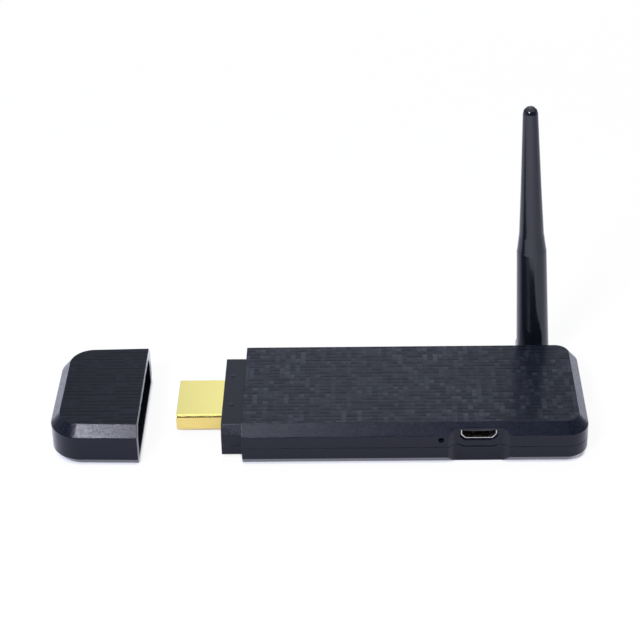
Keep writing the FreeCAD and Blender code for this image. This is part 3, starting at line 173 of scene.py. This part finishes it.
class Graph:
    """A node tree that is filled with expressions."""

    def __init__(self, tree):
        self.tree = tree

    def node(self, kind, settings=None, values=None, output=0):
        """Add any node: its settings are set first, then the values or links of its sockets."""
        node = self.tree.nodes.new(kind)
        for name, value in (settings or {}).items():
            setattr(node, name, value)
        for name, value in (values or {}).items():
            self.feed(node.inputs[name], value)
        return Shade(self, node.outputs[output])

    def feed(self, socket, value):
        if isinstance(value, Shade):
            self.tree.links.new(value.socket, socket)
        else:
            socket.default_value = value

    def numbers(self, vector):
        """The three numbers of a vector."""
        return [self.node("ShaderNodeSeparateXYZ", values={0: vector}, output=axis) for axis in range(3)]

    def place(self):
        """The point on the piece in millimetres, as three numbers."""
        return [number * 1000 for number in self.numbers(self.node("ShaderNodeTexCoord", output="Object"))]

    def facing(self):
        """The surface's own direction, as three numbers."""
        return self.numbers(self.node("ShaderNodeNewGeometry", output="True Normal"))

    def ray(self, kind):
        """One on rays of a kind, such as Camera, and zero on the others."""
        return self.node("ShaderNodeLightPath", output=f"Is {kind} Ray")

    def chance(self, x, y, seed):
        """A random number that is the same all over one cell."""
        cell = self.node("ShaderNodeCombineXYZ", values={0: x, 1: y, 2: seed})
        return self.node("ShaderNodeTexWhiteNoise", {"noise_dimensions": "3D"}, {"Vector": cell},
                         output="Value")

    def grain(self, scale, detail=2.0, stretch=(1, 1, 1)):
        """Fine noise from 0 to 1 at a number of grains per metre."""
        point = self.node("ShaderNodeTexCoord", output="Object")
        stretched = self.node("ShaderNodeVectorMath", {"operation": "MULTIPLY"}, {0: point, 1: stretch})
        return self.node("ShaderNodeTexNoise", values={"Vector": stretched, "Scale": scale, "Detail": detail},
                         output="Fac")

    def blend(self, amount, low, high):
        """A colour between two, by an amount from 0 to 1."""
        return self.node("ShaderNodeMix", {"data_type": "RGBA"}, {0: amount, 6: low, 7: high}, output=2)

    def relief(self, height, depth, strength):
        """A Bump node's normal for a height from 0 to 1, with its depth in metres."""
        return self.node("ShaderNodeBump", values={"Height": height, "Distance": depth, "Strength": strength},
                         output="Normal")


class Finish(Graph):
    """A material in the making, round one Principled shader."""

    def __init__(self, name, **constants):
        self.material = bpy.data.materials.new(name)
        self.material.use_nodes = True
        super().__init__(self.material.node_tree)
        self.shader = self.tree.nodes["Principled BSDF"]
        self.surface(**constants)

    def surface(self, **values):
        """Give the shader its constants, or what changes over the surface."""
        for name, value in values.items():
            self.feed(self.shader.inputs[name.replace("_", " ")], value)
        return self.material


def tinted(colour, factor=1.0):
    """A colour made darker or paler, as a colour socket takes it."""
    return (*(channel * factor for channel in colour), 1)


# Mesh work

def runs(edges):
    """Split edges into runs that hang together."""
    left = dict.fromkeys(edges)
    while left:
        run = [left.popitem()[0]]
        for edge in run:
            for other in (near for vertex in edge.verts for near in vertex.link_edges):
                if other in left:
                    del left[other]
                    run.append(other)
        yield run


def softened(node, width, segments=2):
    """Rebuild a CAD piece with its sharp edges rounded off, and let it stand for that piece."""
    work = bmesh.new()
    work.from_mesh(NODES[node].data)
    bmesh.ops.remove_doubles(work, verts=work.verts, dist=WELD)
    bmesh.ops.dissolve_limit(work, angle_limit=FLAT, verts=work.verts, edges=work.edges,
                             use_dissolve_boundaries=False)
    low, high = ([pick(vertex.co[axis] for vertex in work.verts) for axis in range(3)] for pick in (min, max))
    sharp = [edge for edge in work.edges if len(edge.link_faces) == 2 and edge.calc_face_angle(0.0) > SHARP]
    long_runs = [run for run in runs(sharp) if sum(edge.calc_length() for edge in run) > SHORTEST_RUN]
    bmesh.ops.bevel(work, geom=[edge for run in long_runs for edge in run], offset=width,
                    offset_type="OFFSET", segments=segments, profile=0.5, affect="EDGES", clamp_overlap=False)
    for vertex in work.verts:
        vertex.co = [min(max(vertex.co[axis], low[axis]), high[axis]) for axis in range(3)]
    bmesh.ops.recalc_face_normals(work, faces=work.faces)
    mesh = bpy.data.meshes.new(node + "_look")
    work.to_mesh(mesh)
    work.free()
    mesh.shade_smooth()
    mesh.set_sharp_from_angle(angle=CREASE)
    piece = bpy.data.objects.new(node + "_look", mesh)
    bpy.context.scene.collection.objects.link(piece)
    piece.modifiers.new("even_shading", "WEIGHTED_NORMAL").keep_sharp = True
    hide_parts(node)
    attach(piece, BODY_OF[node])
    return piece


def dress(piece, material):
    piece.data.materials.clear()
    piece.data.materials.append(material)


def dress_node(node, material):
    """Give a CAD piece that keeps its shape a better material."""
    item = NODES[node]
    if not item.material_slots:
        item.data.materials.append(material)
    for place in item.material_slots:
        place.material = material


# Finishes

def mosaic_plastic(look, name, film, index):
    """Blue-black plastic whose flat top carries a mosaic of dark dashes and paler squares.

    film is how strongly the mosaic shows and shines. The slopes carry bright specks painted into their colour
    as painted glints, and are glossier on them; the walls and the floor plain.
    """
    finish = Finish(name, IOR=index, Coat_Roughness=0.15, Coat_IOR=index)
    x, y, z = finish.place()
    up = finish.facing()[2]
    level = up.ramp(*LEVEL)
    top = (z > TOP / MM - TOP_SKIN) * level
    rest = 1 - top
    slope = (up > STEEPEST_SLOPE) * (1 - level)

    across, along = y / (look.row_pitch / MM), x / (look.cell_length / MM)
    column, line = along.floor(), across.floor()
    single = finish.chance(column, line, seed=1.0)
    shift = finish.chance(column, 0.5, seed=7.0)
    tall = finish.chance(column, (line / TALL_ROWS + shift).floor(), seed=2.0)
    gap = (along.part() < CELL_GAP).either((across.part() > ROW_GAP_START) * (single > ROW_GAP_CHANCE))
    patch = finish.grain(PATCH_GRAIN).ramp(0.35, 0.65)
    squares = single.ramp(*PALE_SINGLE).either(tall.ramp(*PALE_TALL) * 0.8)
    pale = squares * (1 - gap) * film * (0.3 + patch * 0.7)
    offset = finish.chance(line, 0.5, seed=3.0)
    pair = finish.chance((column / 2 + offset).floor(), line, seed=4.0)
    dash = (across.part() < DASH_WIDTH) * (pair > DASH_CHANCE) * (1 - pale)

    grain = finish.grain(MOULD_GRAIN, 3)
    cloud = finish.grain(CLOUD_GRAIN)
    pits = finish.grain(PIT_GRAIN)
    glint_specks = finish.grain(SPECK_GRAIN).ramp(0.4, 0.62)
    tone = 0.2 + film * 0.2 + (single - 0.5) * 0.2 * film + pale * 0.3 - dash * 0.25 + (grain - 0.5) * 0.5
    shade = finish.blend(tone * (0.8 + cloud * 0.4), tinted(look.dark_tone), tinted(look.pale_tone))
    # On the slopes, bright specks are painted into the colour as painted glints; the grain elsewhere is the
    # plastic's own.
    grain_and_painted_glints = grain * 0.3 + slope * (glint_specks * 2.1 - 0.45)
    body = finish.blend(grain_and_painted_glints, tinted(look.body_tone), tinted(look.body_tone, 2))
    top_gloss = film * (0.45 + (single - 0.5) * 0.2 + pale * 0.4 - dash * 0.25)
    rest_gloss = rest * (1 - level * 0.5) - slope * (1 - glint_specks) * 0.72 - rest * (1 - slope) * 0.12
    rest_roughness = look.body_roughness + (pits - 0.5) * 0.15
    height = top * (pale * 0.5 - dash * 0.5 + grain * 0.5) + rest * pits
    return finish.surface(Base_Color=finish.blend(top, body, shade), Coat_Weight=top * top_gloss + rest_gloss,
                          Roughness=top * (0.25 + pale * 0.05) + rest * rest_roughness,
                          Normal=finish.relief(height, look.grain_depth, 0.5))


def gloss_plastic(look):
    """Glossy black of the antenna, with faint waviness along its length and duller flanks."""
    finish = Finish("gloss_black", IOR=1.42, Coat_Roughness=0.12, Coat_IOR=1.4)
    flank = finish.numbers(finish.node("ShaderNodeTexCoord", output="Normal"))[0]
    wave = finish.grain(160, stretch=(1, 1, 0.2))
    fine = finish.grain(5000)
    roughness = look.roughness + (wave - 0.5) * 0.06 + (fine - 0.5) * 0.03
    gloss = 0.6 - (flank + 0.12).size().ramp(0.05, 0.75) * 0.6
    return finish.surface(Base_Color=finish.blend(wave, tinted(look.black), tinted(look.black, 1.5)),
                          Roughness=roughness, Coat_Weight=gloss,
                          Normal=finish.relief(wave * 0.7 + fine * 0.3, 0.01 * MM, 0.25))


def gold_plating(look):
    """Satin gold with fine drawing lines, deeper gold on upright faces as painted shade, and a brown fold
    line under the upper corners as a painted reflection.
    """
    finish = Finish("gold_plating", Metallic=1.0)
    height = finish.place()[2]
    facing = finish.facing()
    lines = finish.grain(2500, 3, (0.12, 1, 1))
    cloud = finish.grain(120)
    # The fold line's brown is a painted reflection of dark surroundings in the rounded upper edge, on front
    # and back faces.
    fold = (height - look.fold_height / MM).size() < 0.06 + cloud * 0.06
    plating = finish.blend(cloud, tinted(look.gold), tinted(look.gold, 0.94))
    # Upright faces get a deeper gold: painted shade, since the plating is the same all over.
    wall = finish.blend(1 - facing[2].ramp(0.0, 0.6), plating, tinted(look.wall_shade_gold))
    colour = finish.blend(fold * (facing[1].size() > 0.3), wall, tinted(look.fold_reflection_tone))
    return finish.surface(Base_Color=colour, Roughness=look.roughness + (lines - 0.5) * 0.06,
                          Normal=finish.relief(lines, 0.003 * MM, 0.3))


def plain_metal(name, colour, roughness, stretch=(1, 1, 1)):
    """Metal with fine lines, or with a brushed look where stretch draws them out."""
    finish = Finish(name, Metallic=1.0)
    lines = finish.grain(3000, 3, stretch)
    return finish.surface(Base_Color=finish.blend(lines, tinted(colour), tinted(colour, 0.8)),
                          Roughness=roughness + (lines - 0.5) * 0.15,
                          Normal=finish.relief(lines, 0.006 * MM, 0.4))


def plain_moulding(name, colour, roughness, scale=4000):
    """Moulded plastic, resin or rubber with a fine grain."""
    finish = Finish(name, IOR=1.45)
    grain = finish.grain(scale, 3)
    return finish.surface(Base_Color=finish.blend(grain, tinted(colour), tinted(colour, 1.35)),
                          Roughness=roughness + (grain - 0.5) * 0.15,
                          Normal=finish.relief(grain, 0.01 * MM, 0.4))


def board_mask(look):
    """Green solder mask with traces and pads showing through."""
    finish = Finish("circuit_board", IOR=1.5)
    x, y, z = finish.place()
    rows = y / TRACE_PITCH
    trace = (rows.part() < 0.45) * (finish.chance((x / TRACE_LENGTH).floor(), rows.floor(), seed=1.0) > 0.55)
    dot = finish.node("ShaderNodeTexVoronoi", {"feature": "DISTANCE_TO_EDGE"}, {"Scale": 700.0},
                      output="Distance")
    copper = trace.either(dot < 0.03)
    return finish.surface(Base_Color=finish.blend(copper, tinted(look.mask, 0.6), tinted(look.mask)),
                          Roughness=0.35 + trace * 0.1, Normal=finish.relief(copper, 0.02 * MM, 0.5))


def capacitor_ceramic(look):
    """Brown ceramic with a fine grain."""
    finish = Finish("ceramic_with_ends", IOR=1.5)
    grain = finish.grain(5000)
    return finish.surface(Base_Color=finish.blend(grain, tinted(look.ceramic), tinted(look.ceramic, 0.75)),
                          Roughness=0.5 + grain * 0.1)


# Settings

def colour_setting(name, description, default):
    return bpy.props.FloatVectorProperty(name=name, description=description, default=default, size=3, min=0.0,
                                         max=1.0, subtype="COLOR")


def length_setting(name, description, default):
    return bpy.props.FloatProperty(name=name, description=description, default=default, min=0.0, precision=5,
                                   subtype="DISTANCE", unit="LENGTH")


def number_setting(name, description, default, top):
    return bpy.props.FloatProperty(name=name, description=description, default=default, min=0.0, max=top)


class ShellLook(bpy.types.PropertyGroup):
    dark_tone: colour_setting("Dark tone", "Darkest colour of the mosaic", (0.001, 0.002, 0.005))
    pale_tone: colour_setting("Pale tone", "Palest colour of the mosaic", (0.020, 0.024, 0.038))
    body_tone: colour_setting("Body tone", "Colour of the walls and slopes", (0.005, 0.006, 0.011))
    body_roughness: number_setting("Body roughness", "Roughness of the walls and slopes", 0.18, 1.0)
    grain_depth: length_setting("Grain", "Depth of the fine moulded grain", 0.0001)
    base_index: number_setting("Refraction", "Refractive index of the stick's plastic", 1.23, 2.0)
    cap_index: number_setting("Cap refraction", "Refractive index of the cap's plastic", 1.21, 2.0)
    film: number_setting("Mosaic gloss", "How strongly the mosaic shows and shines on the stick", 1.0, 1.0)
    cap_film: number_setting("Cap gloss", "How strongly the mosaic shows and shines on the cap", 0.2, 1.0)
    cell_length: length_setting("Cell length", "Mosaic cell along the stick", 0.0011)
    row_pitch: length_setting("Row pitch", "Mosaic row across the stick", 0.00125)
    edge_round: length_setting("Edge round", "Rounding of the shells' sharp edges", 0.00012)


class PlugLook(bpy.types.PropertyGroup):
    gold: colour_setting("Gold", "Colour of the plating", (1.0, 0.87, 0.29))
    # Deep gold is painted shade: the upright faces of the plating drawn darker.
    wall_shade_gold: colour_setting("Deep gold", "Colour of the plating on upright faces", (0.78, 0.62, 0.19))
    # The fold colour is a painted reflection: dark surroundings mirrored in the plug's rounded upper edge.
    fold_reflection_tone: colour_setting("Fold", "Colour of the fold line", (0.22, 0.09, 0.02))
    fold_height: length_setting("Fold height", "Height of the fold line above the floor", 0.00556)
    roughness: number_setting("Roughness", "Roughness of the plating", 0.13, 1.0)
    steel: colour_setting("Steel", "Colour of the power socket's shell", (0.62, 0.61, 0.56))
    moulding: colour_setting("Moulding", "Colour of the black mouldings in both", (0.012, 0.012, 0.013))
    edge_round: length_setting("Edge round", "Rounding of the metal's edges", 0.00006)


class AntennaLook(bpy.types.PropertyGroup):
    black: colour_setting("Black", "Colour of the antenna", (0.005, 0.006, 0.010))
    roughness: number_setting("Roughness", "Roughness of the antenna", 0.17, 1.0)
    nylon: colour_setting("Nylon", "Colour of the hinge pin", (0.012, 0.012, 0.014))
    edge_round: length_setting("Edge round", "Rounding of the antenna's sharp edges", 0.00008)


class BoardLook(bpy.types.PropertyGroup):
    mask: colour_setting("Solder mask", "Colour of the boards", (0.02, 0.12, 0.06))
    ceramic: colour_setting("Ceramic", "Colour of the capacitors", (0.42, 0.3, 0.18))
    resin: colour_setting("Resin", "Colour of the chips", (0.02, 0.02, 0.022))


class StageLook(bpy.types.PropertyGroup):
    floor: colour_setting("Floor", "Colour of the floor", (0.88, 0.88, 0.96))
    key_power: number_setting("Key lamp", "Power of the front left lamp in watts", 4.9, 1000.0)
    top_power: number_setting("Top lamp", "Power of the overhead lamp in watts", 4.3, 1000.0)
    surround: number_setting("Surround", "Brightness of the surroundings", 1.0, 10.0)
    lens: bpy.props.FloatProperty(name="Lens", description="Focal length in millimetres", default=109.47,
                                  min=1.0, subtype="DISTANCE_CAMERA")


# Operators for the pieces

class DONGLE_OT_shells(bpy.types.Operator):
    """Dress the two shells of the stick and the end cap in mosaic plastic."""
    bl_idname = "dongle.shells"
    bl_label = "Shells and end cap"

    def execute(self, context):
        look = context.scene.dongle_shells
        stick = mosaic_plastic(look, "stick_plastic", look.film, look.base_index)
        cap = mosaic_plastic(look, "cap_plastic", look.cap_film, look.cap_index)
        for node, plastic in (("upper_shell", stick), ("lower_shell", stick), ("end_cap", cap)):
            dress(softened(node, look.edge_round), plastic)
        return {"FINISHED"}


class DONGLE_OT_plug(bpy.types.Operator):
    """Dress the video plug and the power socket."""
    bl_idname = "dongle.plug"
    bl_label = "Video plug and power socket"

    def execute(self, context):
        look = context.scene.dongle_plug
        gold = gold_plating(look)
        steel = plain_metal("socket_steel", look.steel, 0.25)
        black = plain_moulding("black_moulding", look.moulding, 0.45)
        dress(softened("video_plug_shell", look.edge_round), gold)
        dress(softened("power_socket_shell", look.edge_round), steel)
        for node in ("video_plug_insulator", "power_socket_tongue"):
            dress(softened(node, look.edge_round / 2, segments=1), black)
        for node in ("video_plug_contacts", "power_socket_contacts"):
            dress_node(node, gold)
        return {"FINISHED"}


class DONGLE_OT_antenna(bpy.types.Operator):
    """Dress the antenna's sleeve with its knuckle, the cover in the knuckle's back and the hinge pin."""
    bl_idname = "dongle.antenna"
    bl_label = "Antenna"

    def execute(self, context):
        look = context.scene.dongle_antenna
        black = gloss_plastic(look)
        for node in ("antenna_sleeve", "antenna_knuckle_cover"):
            dress(softened(node, look.edge_round), black)
        dress_node("antenna_hinge_pin", plain_moulding("hinge_nylon", look.nylon, 0.4))
        return {"FINISHED"}


# Inner pieces: the finish's name, its colour and roughness, the stretch of its lines or its grains per metre,
# and the pieces that wear it
INNER_METALS = [
    ("antenna_brass", (0.78, 0.6, 0.3), 0.35, (1, 1, 1),
     ["antenna_ground_tube", "antenna_crimp_ring", "antenna_whip"]),
    ("spring_steel", (0.62, 0.62, 0.62), 0.3, (1, 1, 1), ["friction_washer", "reset_switch_plate"]),
    ("shield_steel", (0.68, 0.67, 0.64), 0.32, (0.1, 1, 1), ["wireless_module_shield", "clock_crystal"]),
    ("jack_gold", (0.85, 0.66, 0.3), 0.3, (1, 1, 1), ["coaxial_jack", "coaxial_lead_plug"]),
    ("spreader_aluminium", (0.74, 0.74, 0.76), 0.35, (0.08, 1, 1), ["heat_spreader"]),
]
INNER_MOULDINGS = [
    ("lead_jacket", (0.02, 0.02, 0.022), 0.5, 4000, ["antenna_lead", "antenna_feed"]),
    ("thermal_gel", (0.4, 0.47, 0.55), 0.6, 900, ["thermal_pad"]),
    ("inductor_ferrite", (0.07, 0.07, 0.07), 0.6, 7000, ["power_inductors"]),
    ("switch_resin", (0.015, 0.015, 0.016), 0.5, 4000, ["reset_switch_case"]),
    ("button_plastic", (0.12, 0.12, 0.12), 0.45, 4000, ["reset_button"]),
]


class DONGLE_OT_inside(bpy.types.Operator):
    """Dress the pieces inside the stick and the antenna."""
    bl_idname = "dongle.inside"
    bl_label = "Inner pieces"

    def execute(self, context):
        look = context.scene.dongle_board
        for maker, rows in ((plain_metal, INNER_METALS), (plain_moulding, INNER_MOULDINGS)):
            for name, colour, roughness, texture, nodes in rows:
                finish = maker(name, colour, roughness, texture)
                for node in nodes:
                    dress_node(node, finish)
        resin = plain_moulding("chip_resin", look.resin, 0.5, 6000)
        for node in ("processor", "memory_chip", "flash_chip"):
            dress_node(node, resin)
        mask = board_mask(look)
        for node in ("main_board", "wireless_module_board"):
            dress_node(node, mask)
        dress_node("ceramic_capacitors", capacitor_ceramic(look))
        return {"FINISHED"}


# Stage

def stage_material(colour):
    """White to the camera, and still darkened by the object's shadow, with painted shade where it touches.

    Glossy rays see the white ground only close to where the object touches it, which lights its lowest edge.
    """
    finish = Finish("stage_white", Roughness=0.9, Specular_IOR_Level=0.0)
    finish.surface(Base_Color=finish.blend(finish.grain(300), tinted(colour), tinted(colour, 0.985)))
    contact_shade_and_glow = finish.node("ShaderNodeAmbientOcclusion", {"samples": 8}, {"Distance": CONTACT_REACH},
                          output="AO")
    x, y, z = finish.place()
    far = x.size().either(y.size()).ramp(120, 300)
    white = 0.93 + 0.07 * far
    glossy = finish.ray("Glossy")
    # Painted shade: to the camera the floor darkens where the object touches it. Painted light: to glossy
    # rays it glows there in a pale blue, so the lowest edge reflects it.
    seen = (finish.ray("Camera") * white * contact_shade_and_glow.ramp(0.3, 0.9, 0.2, 1.0)
            + glossy * contact_shade_and_glow.ramp(0.4, 0.95, 1.0, 0.0))
    tone = finish.blend(glossy, (1, 1, 1, 1), (0.8, 0.82, 0.95, 1))
    glow = finish.node("ShaderNodeEmission", values={"Color": tone, "Strength": 1.0})
    lit = Shade(finish, finish.shader.outputs["BSDF"])
    share = seen.either(finish.ray("Transmission"))
    mixed = finish.node("ShaderNodeMixShader", values={0: share, 1: lit, 2: glow})
    finish.feed(finish.tree.nodes["Material Output"].inputs["Surface"], mixed)
    return finish.material


def surroundings(strength):
    """White all round to the camera, and to the object a bright back and middle with a dark front and top."""
    world = bpy.data.worlds.new("surroundings")
    world.use_nodes = True
    sky = Graph(world.node_tree)
    x, y, z = sky.numbers(sky.node("ShaderNodeTexCoord", output="Generated"))
    back = y.ramp(-0.7, 0.2, 0.1, 1.0)
    middle = (x + 0.01).size().ramp(0.06, 0.14, 1.0, 0.4)
    overhead = z.ramp(0.7, 0.95, 1.0, 0.3)
    light = back * middle * overhead * strength
    white = sky.ray("Camera")
    background = world.node_tree.nodes["Background"]
    sky.feed(background.inputs["Strength"], white + (1 - white) * light)
    sky.feed(background.inputs["Color"], sky.blend(white, (0.93, 0.98, 1.12, 1), (1, 1, 1, 1)))
    return world


def lamp(name, power, location, target, size, tint):
    """Hang a soft box that shines on a target and stays out of the picture."""
    light = bpy.data.lights.new(name, "AREA")
    light.shape = "RECTANGLE"
    light.size, light.size_y = size
    light.energy = power
    light.color = tint
    item = bpy.data.objects.new(name, light)
    item.location = location
    item.rotation_euler = (Vector(target) - item.location).to_track_quat("-Z", "Y").to_euler()
    item.visible_camera = False
    bpy.context.scene.collection.objects.link(item)


def lay_floor(colour):
    """Lay a flat floor that reaches far past the picture."""
    mesh = bpy.data.meshes.new("floor")
    corners = [(x * FLOOR_REACH, y * FLOOR_REACH, 0) for x, y in ((-1, -1), (1, -1), (1, 1), (-1, 1))]
    mesh.from_pydata(corners, [], [(0, 1, 2, 3)])
    mesh.materials.append(stage_material(colour))
    ground = bpy.data.objects.new("floor", mesh)
    bpy.context.scene.collection.objects.link(ground)


def set_camera(focal_length):
    """Put the camera where the photograph was taken from."""
    lens = bpy.data.cameras.new("camera")
    lens.lens = focal_length
    lens.sensor_width = FILM_WIDTH
    lens.clip_start = 0.01
    item = bpy.data.objects.new("camera", lens)
    bpy.context.scene.collection.objects.link(item)
    yaw, down, roll = (math.radians(angle) for angle in (CAMERA_YAW, CAMERA_DOWN, CAMERA_ROLL))
    forward = Vector((math.sin(yaw) * math.cos(down), math.cos(yaw) * math.cos(down), -math.sin(down)))
    right = forward.cross(Vector((0, 0, 1))).normalized()
    up = right.cross(forward)
    right, up = right * math.cos(roll) + up * math.sin(roll), up * math.cos(roll) - right * math.sin(roll)
    turn = Matrix((right, up, -forward)).transposed()
    item.matrix_world = Matrix.Translation(Vector(CAMERA_PLACE) * MM) @ turn.to_4x4()
    bpy.context.scene.camera = item


class DONGLE_OT_stage(bpy.types.Operator):
    """Lay the floor, hang the lamps and set up the camera."""
    bl_idname = "dongle.stage"
    bl_label = "Floor, lamps and camera"

    def execute(self, context):
        look = context.scene.dongle_stage
        context.scene.view_settings.view_transform = "Standard"
        lay_floor(look.floor)
        lamp("key_lamp", look.key_power, **KEY_LAMP)
        lamp("top_lamp", look.top_power, **TOP_LAMP)
        context.scene.world = surroundings(look.surround)
        set_camera(look.lens)
        return {"FINISHED"}


# Panel and registration

STEPS = [
    (DONGLE_OT_shells, "dongle_shells", ShellLook),
    (DONGLE_OT_plug, "dongle_plug", PlugLook),
    (DONGLE_OT_antenna, "dongle_antenna", AntennaLook),
    (DONGLE_OT_inside, "dongle_board", BoardLook),
    (DONGLE_OT_stage, "dongle_stage", StageLook),
]


class DONGLE_PT_panel(bpy.types.Panel):
    """Lists the pieces of the dongle and their settings."""
    bl_label = "Display dongle"
    bl_idname = "DONGLE_PT_panel"
    bl_space_type = "VIEW_3D"
    bl_region_type = "UI"
    bl_category = "Dongle"

    def draw(self, context):
        for operator, group, look in STEPS:
            box = self.layout.box()
            box.operator(operator.bl_idname)
            for name in look.__annotations__:
                box.prop(getattr(context.scene, group), name)


def register():
    for operator, group, look in STEPS:
        bpy.utils.register_class(look)
        bpy.utils.register_class(operator)
        setattr(bpy.types.Scene, group, bpy.props.PointerProperty(type=look))
    bpy.utils.register_class(DONGLE_PT_panel)


def unregister():
    bpy.utils.unregister_class(DONGLE_PT_panel)
    for operator, group, look in reversed(STEPS):
        delattr(bpy.types.Scene, group)
        bpy.utils.unregister_class(operator)
        bpy.utils.unregister_class(look)


def main():
    register()
    bpy.ops.dongle.shells()
    bpy.ops.dongle.plug()
    bpy.ops.dongle.antenna()
    bpy.ops.dongle.inside()
    bpy.ops.dongle.stage()


if __name__ == "__main__":
    main()
